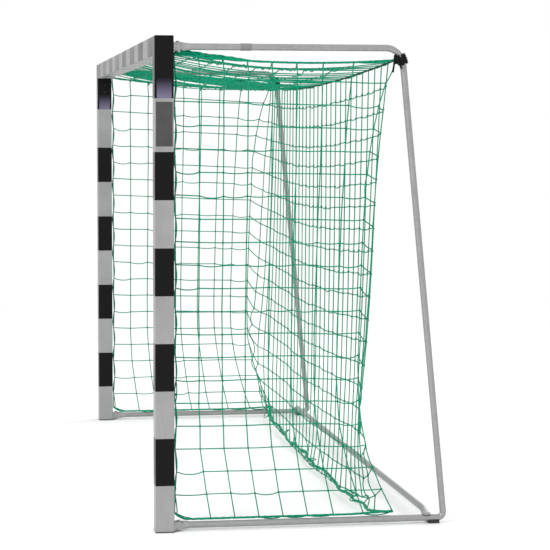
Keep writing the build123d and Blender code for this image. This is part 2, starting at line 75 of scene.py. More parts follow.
POST_REAR = post_high.y
BRACKET_X = (tube_low.x + tube_high.x) / 2
TUBE_RADIUS = (tube_high.x - tube_low.x) / 2
TOP_TUBE_Z = (top_tube_low.z + top_tube_high.z) / 2
GROUND_TUBE_Z = (tube_low.z + tube_high.z) / 2
HOOK_X = (post_hooks_low.x + post_hooks_high.x) / 2
HOOK_Y = POST_REAR + 0.006  # where the cords run through the hooks
BAR_HOOK_Z = (bar_hooks_low.z + bar_hooks_high.z) / 2
HOOK_PITCH = 0.2
HOOK_HALF_WIDTH = 0.007  # of the crossbar's hooks
HOOK_HALF_HEIGHT = 0.012  # of the posts' hooks

# the leg's centre line, as the frame bends it
LEG_LEAN_RUN = 0.200  # how far the leg's foot stands behind its top
LEG_LEAN = math.atan(LEG_LEAN_RUN / (TOP_TUBE_Z - GROUND_TUBE_Z))
TOP_BEND = 0.075  # centre line radii of the leg's two bends
FOOT_BEND = 0.022
FOOT_TANGENT = FOOT_BEND / math.tan((math.pi / 2 - LEG_LEAN) / 2)
LEG_FOOT_Y = leg_high.y - TUBE_RADIUS + FOOT_TANGENT - FOOT_BEND
LEG_TOP_Y = LEG_FOOT_Y - LEG_LEAN_RUN

# ---------------------------------------------------------------- the net's own sizes
MESH = 0.100  # one side of a mesh
CORD = 0.0052  # diameter of the mesh cords
BORDER = 0.0055  # cords threaded through the hooks
SIDE_ROPE = 0.009
BLACK_ROPE = 0.008
BOTTOM_ROPE = 0.012
ROWS = 20  # meshes from top to bottom
DEPTH_MESHES = 8  # meshes from the posts to the rear corners
WIDTH_MESHES = 31
NET_X = HOOK_X
NET_TOP_Z = 1.986
NET_FRONT_TOP_Z = 2.006
NET_BOTTOM_Z = 0.055
NET_DEPTH = 0.800  # behind the posts, at the waist
WAIST_Z = 0.750
FOOT_DRAW_Z = 0.600  # below this the bracket's foot draws the net back
TOP_DRAW = 0.040  # how much deeper than the waist the rear edge hangs towards the top
CORNER_DRAW = 0.108  # and what the lashing at the top corner adds to that
FOOT_DRAW = 0.150
EDGE_PULL = 0.022  # how far the rear edges are drawn inwards at half height
CORNER_DROP = {"left": 0.030, "right": 0.0}
TOP_ROPE_SAG = 0.055
TOP_ROPE_PULL = 0.050  # how far the top net draws the rear rope forward
SIDE_ROPE_SAG = 0.022
SIDE_ROPE_PULL = 0.012  # how far the top net draws the side ropes inwards
BOTTOM_ROPE_PULL = 0.078
BOTTOM_ROPE_DROP = 0.034  # how far the rear bottom rope lies below the corners
FOOT_SHIFT = 0.050  # how far the side nets' lowest knots are drawn towards the rear
FOOT_SHIFT_FROM = 0.82  # share of the way down at which that begins
BOTTOM_ROPE_LIFT = 0.028  # how far the side's bottom rope climbs to meet the cord on the post
LIFT_LENGTH = 0.06  # within this distance of the post
HOOK_SCALLOP = 0.008  # how far the crossbar's cord sags between two hooks
POST_SCALLOP = 0.010  # how far the post's cord is drawn back between two hooks
WIDEST_MESH = 0.104  # spacing of the knots along a row, except beside a drawn-back corner
EDGE_SHARE = 0.8  # how much of the rear edges' curve the rear net starts with

# cord lengths in the panels that hang nearly taut, as shares of the knots' first spacing
TOP_DEPTH_SLACK = 0.995
SIDE_ROW_SLACK = 1.004
SIDE_COLUMN_SLACK = 0.993


# ---------------------------------------------------------------- material helpers
def shader(name):
    """A new material and its node tree, cleared to one Principled shader."""
    made = bpy.data.materials.new(name)
    made.use_nodes = True
    tree = made.node_tree
    return made, tree, tree.nodes["Principled BSDF"]


def coordinates(tree, stretch):
    """Object coordinates, stretched by three factors."""
    place = tree.nodes.new("ShaderNodeTexCoord")
    mapping = tree.nodes.new("ShaderNodeMapping")
    mapping.inputs["Scale"].default_value = stretch
    tree.links.new(place.outputs["Object"], mapping.inputs["Vector"])
    return mapping.outputs["Vector"]


def noise(tree, vector, scale, detail):
    node = tree.nodes.new("ShaderNodeTexNoise")
    node.inputs["Scale"].default_value = scale
    node.inputs["Detail"].default_value = detail
    tree.links.new(vector, node.inputs["Vector"])
    return node.outputs["Fac"]


def ramp(tree, value, stops):
    """Colours between stops, each a place and a grey or a colour."""
    node = tree.nodes.new("ShaderNodeValToRGB")
    elements = node.color_ramp.elements
    while len(elements) < len(stops):
        elements.new(0.5)
    for element, (place, colour) in zip(elements, stops):
        element.position = place
        element.color = (*colour, 1) if hasattr(colour, "__len__") else (colour, colour, colour, 1)
    tree.links.new(value, node.inputs["Fac"])
    return node.outputs["Color"]


def bump(tree, shader_node, height, strength, distance):
    node = tree.nodes.new("ShaderNodeBump")
    node.inputs["Strength"].default_value = strength
    node.inputs["Distance"].default_value = distance
    tree.links.new(height, node.inputs["Height"])
    tree.links.new(node.outputs["Normal"], shader_node.inputs["Normal"])


def brushed_metal(name, dark, light, stretch, roughness, metallic=0.85):
    """Drawn metal: streaks along one axis, in colour, gloss and relief."""
    made, tree, node = shader(name)
    streaks = noise(tree, coordinates(tree, stretch), 9, 5)
    patches = noise(tree, coordinates(tree, (1, 1, 1)), 6, 3)
    mix = tree.nodes.new("ShaderNodeMath")
    mix.operation = "MULTIPLY"
    tree.links.new(streaks, mix.inputs[0])
    tree.links.new(patches, mix.inputs[1])
    tree.links.new(ramp(tree, mix.outputs[0], [(0.12, dark), (0.42, light)]), node.inputs["Base Color"])
    tree.links.new(
        ramp(tree, patches, [(0.3, roughness - 0.06), (0.7, roughness + 0.08)]), node.inputs["Roughness"]
    )
    node.inputs["Metallic"].default_value = metallic
    bump(tree, node, streaks, 0.12, 0.0004)
    return made


def spangled_zinc(name, dark, light, scale, roughness):
    """Galvanised steel: crystal patches of slightly different greys."""
    made, tree, node = shader(name)
    crystals = tree.nodes.new("ShaderNodeTexVoronoi")
    crystals.inputs["Scale"].default_value = scale
    tree.links.new(coordinates(tree, (1, 1, 1)), crystals.inputs["Vector"])
    grime = noise(tree, coordinates(tree, (1, 1, 1)), 14, 4)
    mix = tree.nodes.new("ShaderNodeMix")
    mix.data_type = "RGBA"
    mix.inputs["Factor"].default_value = 0.35
    tree.links.new(ramp(tree, crystals.outputs["Color"], [(0.2, dark), (0.8, light)]), mix.inputs["A"])
    tree.links.new(ramp(tree, grime, [(0.3, dark), (0.7, light)]), mix.inputs["B"])
    tree.links.new(mix.outputs["Result"], node.inputs["Base Color"])
    tree.links.new(
        ramp(tree, grime, [(0.3, roughness - 0.08), (0.7, roughness + 0.1)]), node.inputs["Roughness"]
    )
    node.inputs["Metallic"].default_value = 0.75
    bump(tree, node, grime, 0.15, 0.0005)
    return made


def moulded(name, dark, light, scale, roughness, relief):
    """Plastic, film or rubber: a fine grain with slow colour patches."""
    made, tree, node = shader(name)
    slow = noise(tree, coordinates(tree, (1, 1, 1)), scale / 40, 3)
    grain = noise(tree, coordinates(tree, (1, 1, 1)), scale, 2)
    tree.links.new(ramp(tree, slow, [(0.3, dark), (0.7, light)]), node.inputs["Base Color"])
    tree.links.new(
        ramp(tree, slow, [(0.3, roughness - 0.07), (0.7, roughness + 0.07)]), node.inputs["Roughness"]
    )
    bump(tree, node, grain, relief, 0.0006)
    return made


def scuffed_film(name):
    """Dark film with fine scuffs that run round the post; its sheen turns it pale when seen edge-on."""
    made, tree, node = shader(name)
    slow = noise(tree, coordinates(tree, (1, 1, 1)), 5, 4)
    scuffs = noise(tree, coordinates(tree, (3, 3, 90)), 14, 6)
    tree.links.new(ramp(tree, scuffs, [(0.62, 0.002), (0.78, 0.010)]), node.inputs["Base Color"])
    tree.links.new(ramp(tree, slow, [(0.3, 0.30), (0.7, 0.45)]), node.inputs["Roughness"])
    node.inputs["Specular IOR Level"].default_value = 0.15
    node.inputs["Sheen Weight"].default_value = 1.0
    node.inputs["Sheen Roughness"].default_value = 0.12
    bump(tree, node, scuffs, 0.08, 0.0003)
    return made


def braided(name, shade, body, light, pitch, roughness=0.6):
    """Cord: oblique strands with shaded grooves, fibre grain and patches of sun-bleached colour."""
    made, tree, node = shader(name)
    place = coordinates(tree, (1, 1, 1))
    strands = tree.nodes.new("ShaderNodeTexWave")
    strands.wave_type = "BANDS"
    strands.bands_direction = "DIAGONAL"
    strands.inputs["Scale"].default_value = 1 / (pitch * 6)
    strands.inputs["Distortion"].default_value = 0.6
    tree.links.new(place, strands.inputs["Vector"])
    fibre = noise(tree, place, 900, 2)
    patches = noise(tree, place, 3, 3)
    mix = tree.nodes.new("ShaderNodeMix")
    mix.data_type = "RGBA"
    tree.links.new(ramp(tree, patches, [(0.35, 0.0), (0.65, 0.45)]), mix.inputs["Factor"])
    tree.links.new(ramp(tree, strands.outputs["Fac"], [(0.1, shade), (0.5, body)]), mix.inputs["A"])
    tree.links.new(ramp(tree, fibre, [(0.3, body), (0.7, light)]), mix.inputs["B"])
    tree.links.new(mix.outputs["Result"], node.inputs["Base Color"])
    tree.links.new(
        ramp(tree, fibre, [(0.3, roughness - 0.1), (0.7, roughness + 0.1)]), node.inputs["Roughness"]
    )
    node.inputs["Specular IOR Level"].default_value = 0.12
    bump(tree, node, strands.outputs["Fac"], 0.5, pitch / 4)
    return made


def graded_label(name):
    """Printed label: a plain gradient from black to plum."""
    made, tree, node = shader(name)
    place = tree.nodes.new("ShaderNodeTexCoord")
    split = tree.nodes.new("ShaderNodeSeparateXYZ")
    tree.links.new(place.outputs["Generated"], split.inputs["Vector"])
    tree.links.new(
        ramp(tree, split.outputs["Z"], [(0.0, (0.16, 0.14, 0.22)), (0.9, (0.012, 0.010, 0.020))]),
        node.inputs["Base Color"],
    )
    node.inputs["Roughness"].default_value = 0.4
    node.inputs["Specular IOR Level"].default_value = 0.15
    grain = noise(tree, coordinates(tree, (1, 1, 1)), 400, 2)
    bump(tree, node, grain, 0.05, 0.0003)
    return made


# ---------------------------------------------------------------- materials
ALONG_POST = (60, 60, 1.2)
ALONG_BAR = (1.2, 60, 60)
post_metal = brushed_metal("aluminium_post", 0.31, 0.39, ALONG_POST, 0.38)
# the crossbar's aluminium is the posts' metal with a darker base colour: painted shade
shaded_bar_metal = brushed_metal("aluminium_bar", 0.25, 0.32, ALONG_BAR, 0.38)
tube_metal = spangled_zinc("galvanised_tube", 0.31, 0.36, 90, 0.40)
fitting_metal = spangled_zinc("galvanised_fitting", 0.30, 0.40, 160, 0.46)
screw_metal = brushed_metal("zinc_screw", 0.45, 0.62, (40, 40, 40), 0.30, 1.0)
screw_black = brushed_metal("blackened_screw", 0.008, 0.020, (40, 40, 40), 0.45, 0.5)
cast_metal = moulded("cast_corner", 0.30, 0.42, 500, 0.55, 0.4)
film = scuffed_film("black_film")
sleeve_grey = moulded("dark_sleeve", 0.16, 0.21, 700, 0.42, 0.2)
hook_plastic = moulded("black_plastic", 0.010, 0.022, 900, 0.42, 0.25)
pad_rubber = moulded("rubber", 0.010, 0.024, 600, 0.72, 0.6)
plate_grey = moulded("plate", 0.034, 0.050, 500, 0.55, 0.12)
nylon = moulded("nylon", 0.55, 0.65, 500, 0.5, 0.1)
label_print = graded_label("label")
GREEN_SHADE = (0.0005, 0.170, 0.090)
GREEN = (0.0015, 0.260, 0.140)
GREEN_LIGHT = (0.003, 0.350, 0.190)
net_green = braided("green_net", GREEN_SHADE, GREEN, GREEN_LIGHT, 0.004)
rope_green = braided("green_rope", GREEN_SHADE, GREEN, GREEN_LIGHT, 0.007)
# the bunched meshes are the net's own cord painted a step lighter: painted light on the bundles
lit_bunch_green = braided("green_bunch", GREEN, GREEN_LIGHT, (0.006, 0.430, 0.220), 0.004)
rope_black = braided("black_rope", 0.002, 0.006, 0.014, 0.006)


def finish_node(material, *names):
    """Gives CAD nodes a material."""
    for name in names:
        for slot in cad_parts[name].material_slots:
            slot.material = material


for side_name in SIDES:
    finish_node(post_metal, f"post_{side_name}")
    finish_node(film, f"post_film_{side_name}", f"corner_film_{side_name}")
    finish_node(hook_plastic, f"net_hooks_{side_name}")
    finish_node(tube_metal, f"top_tube_{side_name}", f"rear_leg_{side_name}", f"ground_tube_{side_name}")
    finish_node(sleeve_grey, f"splice_sleeve_{side_name}")
    finish_node(pad_rubber, f"rubber_foot_{side_name}")
    finish_node(screw_metal, f"pivot_bolt_{side_name}", f"pivot_nut_{side_name}")
    finish_node(nylon, f"pivot_spacer_{side_name}")
    for level in ("top", "bottom"):
        finish_node(fitting_metal, f"hinge_lug_{level}_{side_name}", f"knuckle_{level}_{side_name}")
finish_node(shaded_bar_metal, "crossbar")
finish_node(film, "crossbar_film")
finish_node(cast_metal, "corner_connectors")
finish_node(screw_black, "corner_screws")
finish_node(screw_metal, "lug_screws", "hinge_bolts", "hinge_nuts")
finish_node(hook_plastic, "foot_caps", "net_hooks_crossbar")
finish_node(plate_grey, "notice_plate")
finish_node(label_print, "plain_labels")
finish_node(tube_metal, "rear_bar")


# ---------------------------------------------------------------- mesh helpers
def new_piece(name, points, faces, material, slot):
    """A smooth-shaded mesh object with one material."""
    mesh = bpy.data.meshes.new(name)
    mesh.from_pydata(points.tolist(), [], faces)
    mesh.update()
    mesh.shade_smooth()
    made = bpy.data.objects.new(name, mesh)
    made.data.materials.append(material)
    bpy.context.scene.collection.objects.link(made)
    return made


def unit(vectors):
    return vectors / np.maximum(np.linalg.norm(vectors, axis=-1, keepdims=True), 1e-9)


def tubes(lines, normals, radius, sides):
    """Closed round tubes along equally divided lines; normals are square to each whole line."""
    count, steps, _ = lines.shape
    tangents = unit(np.gradient(lines, axis=1))
    across = np.broadcast_to(normals[:, None], lines.shape)
    outward = np.cross(tangents, across)
    angles = np.arange(sides) * 2 * math.pi / sides
    ring = (
        across[:, :, None] * np.cos(angles)[None, None, :, None]
        + outward[:, :, None] * np.sin(angles)[None, None, :, None]
    )
    points = (lines[:, :, None] + radius * ring).reshape(-1, 3)
    faces = []
    for line in range(count):
        first = line * steps * sides
        for step in range(steps - 1):
            low = first + step * sides
            for k in range(sides):
                after = (k + 1) % sides
                faces.append((low + k, low + after, low + sides + after, low + sides + k))
        last = first + (steps - 1) * sides
        faces.append(tuple(range(first + sides - 1, first - 1, -1)))
        faces.append(tuple(range(last, last + sides)))
    return points, faces


def rings(centres, axes, ring_radius, wire_radius, around=8, section=5):
    """Small closed rings, one round each centre, for the turns of the knots."""
    helper = np.where(np.abs(axes[:, 2:]) > 0.8, [[1.0, 0, 0]], [[0, 0, 1.0]])
    first = unit(np.cross(axes, helper))
    second = np.cross(axes, first)
    u = np.arange(around) * 2 * math.pi / around
    v = np.arange(section) * 2 * math.pi / section
    radial = first[:, None] * np.cos(u)[None, :, None] + second[:, None] * np.sin(u)[None, :, None]
    points = (
        centres[:, None, None]
        + radial[:, :, None] * (ring_radius + wire_radius * np.cos(v))[None, None, :, None]
        + axes[:, None, None] * (wire_radius * np.sin(v))[None, None, :, None]
    ).reshape(-1, 3)
    faces = []
    for knot in range(len(centres)):
        first_point = knot * around * section
        for i in range(around):
            for j in range(section):
                a = first_point + i * section + j
                b = first_point + i * section + (j + 1) % section
                c = first_point + ((i + 1) % around) * section + (j + 1) % section
                d = first_point + ((i + 1) % around) * section + j
                faces.append((a, b, c, d))
    return points, faces


def joined(*parts):
    """Several (points, faces) sets as one."""
    points, faces, offset = [], [], 0
    for part_points, part_faces in parts:
        points.append(part_points)
        faces.extend(tuple(i + offset for i in face) for face in part_faces)
        offset += len(part_points)
    return np.concatenate(points), faces


STRANDS = 3
ROPE_SIDES = 12
LAY = 4.0  # from one strand to the next along the rope, in rope diameters
GROOVE = 0.86  # share of the rope's radius at the bottom of the grooves between its strands
CREST = 1.084  # and at the crests of the strands


def laid_rope(path, radius):
    """A closed rope of twisted strands along a path."""
    spacing = radius * 0.9
    length = np.concatenate([[0], np.cumsum(np.linalg.norm(np.diff(path, axis=0), axis=1))])
    count = max(4, int(length[-1] / spacing))
    stations = np.linspace(0, length[-1], count)
    line = np.stack([np.interp(stations, length, path[:, k]) for k in range(3)], axis=1)
    tangents = unit(np.gradient(line, axis=0))
    across = unit(np.cross(tangents[0], [0.31, 0.17, 0.93]))
    angles = np.arange(ROPE_SIDES) * 2 * math.pi / ROPE_SIDES
    points = []
    for place, tangent, station in zip(line, tangents, stations):
        across = unit(across - tangent * (across @ tangent))
        outward = np.cross(tangent, across)
        twist = 2 * math.pi * station / (STRANDS * LAY * 2 * radius)
        lobes = radius * (GROOVE + (CREST - GROOVE) * np.abs(np.cos(STRANDS * (angles - twist) / 2)))
        ring = across * np.cos(angles)[:, None] + outward * np.sin(angles)[:, None]
        points.append(place + ring * lobes[:, None])
    faces = []
    for step in range(count - 1):
        low = step * ROPE_SIDES
        for k in range(ROPE_SIDES):
            after = (k + 1) % ROPE_SIDES
            faces.append((low + k, low + after, low + ROPE_SIDES + after, low + ROPE_SIDES + k))
    last = (count - 1) * ROPE_SIDES
    faces.append(tuple(range(ROPE_SIDES - 1, -1, -1)))
    faces.append(tuple(range(last, last + ROPE_SIDES)))
    return np.concatenate(points), faces


# ---------------------------------------------------------------- the net's borders
def waist_depth(z):
    """How far behind the posts the rear corner edge hangs at height z: drawn back at the top and foot."""
    up = np.clip((z - WAIST_Z) / (NET_TOP_Z - WAIST_Z), 0, 1)
    down = np.clip((FOOT_DRAW_Z - z) / (FOOT_DRAW_Z - NET_BOTTOM_Z), 0, 1)
    return NET_DEPTH + TOP_DRAW * up + CORNER_DRAW * up**5 + FOOT_DRAW * down**2


def rear_edge(side_name, share):
    """Points of a rear corner edge, from the top at share 0 to the foot at 1."""
    high = NET_TOP_Z - CORNER_DROP[side_name]
    z = high + (NET_BOTTOM_Z - high) * share
    x = SIDES[side_name] * (NET_X - EDGE_PULL * np.sin(math.pi * share))
    return np.stack([x, POST_REAR + waist_depth(z), z], axis=-1)


def side_top(side_name, share):
    """Points of a side's top rope, from the post at share 0 to the rear corner at 1."""
    corner = rear_edge(side_name, np.zeros(1))[0]
    start = np.array([SIDES[side_name] * NET_X, HOOK_Y, NET_FRONT_TOP_Z])
    hang = 4 * share * (1 - share)
    line = start + (corner - start) * share[:, None]
    line[:, 0] -= SIDES[side_name] * SIDE_ROPE_PULL * hang
    line[:, 2] -= SIDE_ROPE_SAG * hang
    return line


def side_bottom(side_name, share):
    """Points of a side's bottom rope, which lies along the ground tube."""
    corner = rear_edge(side_name, np.ones(1))[0]
    start = np.array([SIDES[side_name] * NET_X, HOOK_Y, NET_BOTTOM_Z])
    line = start + (corner - start) * share[:, None]
    front = np.clip(1 - (line[:, 1] - HOOK_Y) / LIFT_LENGTH, 0, 1)
    line[:, 2] += BOTTOM_ROPE_LIFT * front**2.2 - 0.008 * np.clip((1 - share) / 0.2, 0, 1)
    return line


def rear_top(x):
    """Points of the rear top rope at places x across the goal."""
    left = rear_edge("left", np.zeros(1))[0]
    right = rear_edge("right", np.zeros(1))[0]
    share = (x + NET_X) / (2 * NET_X)
    hang = 4 * share * (1 - share)
    y = left[1] + (right[1] - left[1]) * share - TOP_ROPE_PULL * hang
    z = left[2] + (right[2] - left[2]) * share - TOP_ROPE_SAG * hang
    return np.stack([x, y, z], axis=-1)


def rear_bottom(x):
    """Points of the rear bottom rope: pulled in at once behind the corners, then wavy along the floor."""
    corner = rear_edge("left", np.ones(1))[0]
    away = (1 - np.exp(-(NET_X + x) / 0.35)) * (1 - np.exp(-(NET_X - x) / 0.09))
    wave = 0.010 * np.sin(x * 9.1) + 0.006 * np.sin(x * 23.0 + 1.0)
    y = corner[1] - (BOTTOM_ROPE_PULL + wave) * away
    z = NET_BOTTOM_Z - BOTTOM_ROPE_DROP * away + 0.008 * np.abs(np.sin(x * 14.0)) * away
    return np.stack([x, y, z], axis=-1)


def bar_front(x):
    """Points of the cord threaded through the crossbar's hooks; it scallops a little between them."""
    scallop = HOOK_SCALLOP * np.sin(math.pi * x / HOOK_PITCH) ** 2
    last_hook = bar_hooks_high.x - HOOK_HALF_WIDTH
    beyond = np.clip((np.abs(x) - last_hook) / (NET_X - last_hook), 0, 1)
    z = BAR_HOOK_Z - scallop * (1 - beyond) - (BAR_HOOK_Z - NET_FRONT_TOP_Z) * beyond**2
    return np.stack([x, np.full_like(x, HOOK_Y), z], axis=-1)


def post_front(side_name, z):
    """Points of the cord threaded through one post's hooks."""
    first_hook = post_hooks_low.z + HOOK_HALF_HEIGHT
    draw = POST_SCALLOP * np.sin(math.pi * (z - first_hook) / HOOK_PITCH) ** 2
    return np.stack([np.full_like(z, SIDES[side_name] * NET_X), HOOK_Y + draw, z], axis=-1)


# ---------------------------------------------------------------- the knots and how they are linked
knots = []


def add_knots(places):
    """Adds knots at the places and returns their numbers."""
    first = len(knots)
    knots.extend(np.asarray(places, float))
    return np.arange(first, first + len(places))


column_x = np.linspace(-NET_X, NET_X, WIDTH_MESHES + 1)
row_share = np.linspace(0, 1, ROWS + 1)
# the last mesh beside a drawn-back corner is the wide one
flare = np.linspace(0, 1, DEPTH_MESHES + 1) ** 8


def depth_shares(total):
    """Where the knots of one row stand between the post and the rear edge, as shares of the row."""
    even = min(WIDEST_MESH, total / DEPTH_MESHES) * np.arange(DEPTH_MESHES + 1)
    return (even + (total - even[-1]) * flare) / total


side_grid = {}
for side_name in SIDES:
    grid = np.zeros((ROWS + 1, DEPTH_MESHES + 1), int)
    edge = rear_edge(side_name, row_share)
    for row in range(ROWS + 1):
        total = edge[row, 1] - HOOK_Y
        shares = depth_shares(total)
        if row == 0:
            places = side_top(side_name, shares)
        elif row == ROWS:
            places = side_bottom(side_name, shares)
        else:
            front_z = NET_FRONT_TOP_Z + (NET_BOTTOM_Z - NET_FRONT_TOP_Z) * row_share[row]
            start = post_front(side_name, np.array([front_z]))[0]
            places = start + (edge[row] - start) * shares[:, None]
        low = np.clip((row_share[row] - FOOT_SHIFT_FROM) / (1 - FOOT_SHIFT_FROM), 0, 1)
        places[1:-1, 1] += FOOT_SHIFT * low**1.5
        grid[row] = add_knots(places)
    side_grid[side_name] = grid

rear_grid = np.zeros((ROWS + 1, WIDTH_MESHES + 1), int)
rear_grid[:, 0] = side_grid["left"][:, -1]
rear_grid[:, -1] = side_grid["right"][:, -1]
top_line = rear_top(column_x)
bottom_line = rear_bottom(column_x)
for row in range(ROWS + 1):
    share = row_share[row]
    places = top_line + (bottom_line - top_line) * share
    edge_y = rear_edge("left", np.array([share]))[0, 1]
    straight_y = top_line[0, 1] + (bottom_line[0, 1] - top_line[0, 1]) * share
    places[:, 1] += (edge_y - straight_y) * EDGE_SHARE
    rear_grid[row, 1:-1] = add_knots(places[1:-1])

top_grid = np.zeros((DEPTH_MESHES + 1, WIDTH_MESHES + 1), int)
top_grid[:, 0] = side_grid["left"][0]
top_grid[:, -1] = side_grid["right"][0]
top_grid[-1] = rear_grid[0]
front_line = bar_front(column_x)
for row in range(DEPTH_MESHES):
    share = depth_shares(top_line[0, 1] - HOOK_Y)[row]
    places = front_line + (top_line - front_line) * share
    top_grid[row, 1:-1] = add_knots(places[1:-1])

knots = np.array(knots)
held = np.zeros(len(knots), bool)
for side_name, grid in side_grid.items():
    held[grid[0]] = True
    held[grid[-1]] = True
    held[grid[:, 0]] = True
    held[grid[:, -1]] = True
for line in (rear_grid[0], rear_grid[-1], top_grid[0]):
    held[line] = True


def grid_links(grid, along_row, along_column):
    """Links between a grid's neighbours as (a, b, length); both lengths are made from the two knots."""
    found = [(a, b, along_row(a, b)) for row in grid for a, b in zip(row, row[1:])]
    found += [(a, b, along_column(a, b)) for column in grid.T for a, b in zip(column, column[1:])]
    return found


def full_mesh(a, b):
    """Cords as long as one side of a mesh, wherever their two knots start."""
    return MESH


def stretched(slack):
    """Cords that end up nearly straight: their length is a share of the first spacing of the knots."""
    return lambda a, b: slack * np.linalg.norm(knots[a] - knots[b])


panels = {
    "rear": grid_links(rear_grid, full_mesh, full_mesh),
    "top": grid_links(top_grid, full_mesh, stretched(TOP_DEPTH_SLACK)),
}
for side_name, grid in side_grid.items():
    panels[side_name] = grid_links(grid, stretched(SIDE_ROW_SLACK), stretched(SIDE_COLUMN_SLACK))
first_link = {}
all_links = []
for name, found in panels.items():
    first_link[name] = (len(all_links), len(all_links) + len(found))
    all_links.extend(found)
link_a = np.array([link[0] for link in all_links])
link_b = np.array([link[1] for link in all_links])
link_length = np.array([link[2] for link in all_links])
link_length *= 1 + rng.normal(0, 0.008, len(link_length)).clip(-0.015, 0.02)


# ---------------------------------------------------------------- hanging the net
def link_batches(a, b):
    """Splits the links into batches in which no knot occurs twice."""
    used = {}
    batch_of = np.zeros(len(a), int)
    for index, (p, q) in enumerate(zip(a.tolist(), b.tolist())):
        busy = used.setdefault(p, set()) | used.setdefault(q, set())
        batch = 0
        while batch in busy:
            batch += 1
        batch_of[index] = batch
        used[p].add(batch)
        used[q].add(batch)
    return [np.flatnonzero(batch_of == k) for k in range(batch_of.max() + 1)]


HANG_STEPS = 260
HANG_PASSES = 14
SETTLING = 0.7  # after this share of the steps the knots are slowed down
FALL_PER_STEP = 0.0006
SHORTEST_CORD = 0.12  # two linked knots come no closer than this share of their cord
LOWEST_KNOT = 0.006


def hang(places, pinned):
    """Lets the free knots fall until every cord that carries is at its full length."""
    free = (~pinned).astype(float)
    batches = []
    for chosen in link_batches(link_a, link_b):
        chosen = chosen[~(pinned[link_a[chosen]] & pinned[link_b[chosen]])]
        a, b = link_a[chosen], link_b[chosen]
        both = free[a] + free[b]
        batches.append((a, b, link_length[chosen], free[a] / both, free[b] / both))
    before = places.copy()
    for step in range(HANG_STEPS):
        drag = 0.96 if step < HANG_STEPS * SETTLING else 0.80
        speed = (places - before) * drag
        before = places.copy()
        places = places + speed
        places[:, 2] -= FALL_PER_STEP * free
        places[pinned] = before[pinned]
        for _ in range(HANG_PASSES):
            for a, b, full, share_a, share_b in batches:
                span = places[b] - places[a]
                length = np.linalg.norm(span, axis=1)
                wanted = np.clip(length, SHORTEST_CORD * full, full)
                push = span * ((length - wanted) / np.maximum(length, 1e-6))[:, None]
                places[a] += push * share_a[:, None]
                places[b] -= push * share_b[:, None]
        places[:, 2] = np.maximum(places[:, 2], LOWEST_KNOT)
    return places


knots[~held] += rng.normal(0, 0.006, (int((~held).sum()), 3))
knots = hang(knots, held)

# ---------------------------------------------------------------- net cords and knots as meshes
CORD_STEPS = 5
CORD_SIDES = 6


def bowed_cords(chosen):
    """Lines and plane normals of the chosen cords; a cord longer than its span hangs in a bow."""
    a, b, full = knots[link_a[chosen]], knots[link_b[chosen]], link_length[chosen]
    span = b - a
    chord = np.linalg.norm(span, axis=1)
    spare = np.maximum(full - chord, 0)
    depth = np.minimum(np.sqrt(0.375 * full * spare), 0.5 * (full - 0.5 * chord))
    along = unit(span)
    pull = np.array([0, 0, -1.0]) + sway[chosen]
    pull = unit(pull - (pull * along).sum(1)[:, None] * along)
    lowest = (a[:, 2] + b[:, 2]) / 2 + pull[:, 2] * depth
    depth = np.where(lowest < CORD, depth * 0.15, depth)
    share = np.linspace(0, 1, CORD_STEPS)
    hang_share = (4 * share * (1 - share)) ** 0.85
    lines = (
        a[:, None]
        + span[:, None] * share[None, :, None]
        + (pull * depth[:, None])[:, None] * hang_share[None, :, None]
    )
    lines[:, :, 2] = np.maximum(lines[:, :, 2], CORD / 2)
    return lines, np.cross(along, pull)


sway = rng.normal(0, 0.22, (len(link_a), 3))
upright = np.abs(unit(knots[link_b] - knots[link_a])[:, 2]) > 0.8
sway[upright] *= 4
knot_axes = unit(rng.normal(0, 0.35, (len(knots), 3)) + np.array([0.75, 0.0, 0.65]))


def net_mesh(chosen, knot_numbers):
    """Cords and knots of part of the net."""
    lines, normals = bowed_cords(chosen)
    cords = tubes(lines, normals, CORD / 2, CORD_SIDES)
    numbers = np.unique(knot_numbers)
    turns = rings(knots[numbers], knot_axes[numbers], CORD * 0.62, CORD * 0.48)
    return joined(cords, turns)


def links_of(name):
    first, last = first_link[name]
    return np.arange(first, last)


def blend_at_hinge(piece, side_name, x):
    """Bakes a side piece's placement into its mesh."""
    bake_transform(piece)


def blend_at_corner(piece, side_name):
    """Bakes a rear piece's placement into its mesh."""
    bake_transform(piece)


for side_name, side in SIDES.items():
    grid = side_grid[side_name]
    chosen = links_of(side_name)
    points, faces = net_mesh(chosen, grid[1:-1, 1:].ravel())
    piece = new_piece(f"side_net_{side_name}", points, faces, net_green, "green_net")
    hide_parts(f"net_side_{side_name}")
    blend_at_hinge(piece, side_name, side * BRACKET_X)

    chosen = links_of("rear")
    middle_x = (knots[link_a[chosen], 0] + knots[link_b[chosen], 0]) / 2
    # a cord right in the middle belongs to the left half
    chosen = chosen[middle_x * side > (0 if side > 0 else -1e-9)]
    on_edge = np.isin(link_a[chosen], grid[:, -1]) & np.isin(link_b[chosen], grid[:, -1])
    chosen = chosen[~on_edge]
    numbers = rear_grid[1:-1, 1:-1].ravel()
    numbers = numbers[knots[numbers, 0] * side > 0]
    points, faces = net_mesh(chosen, numbers)
    piece = new_piece(f"rear_net_{side_name}", points, faces, net_green, "green_net")
    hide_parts(f"net_rear_{side_name}")
    blend_at_corner(piece, side_name)
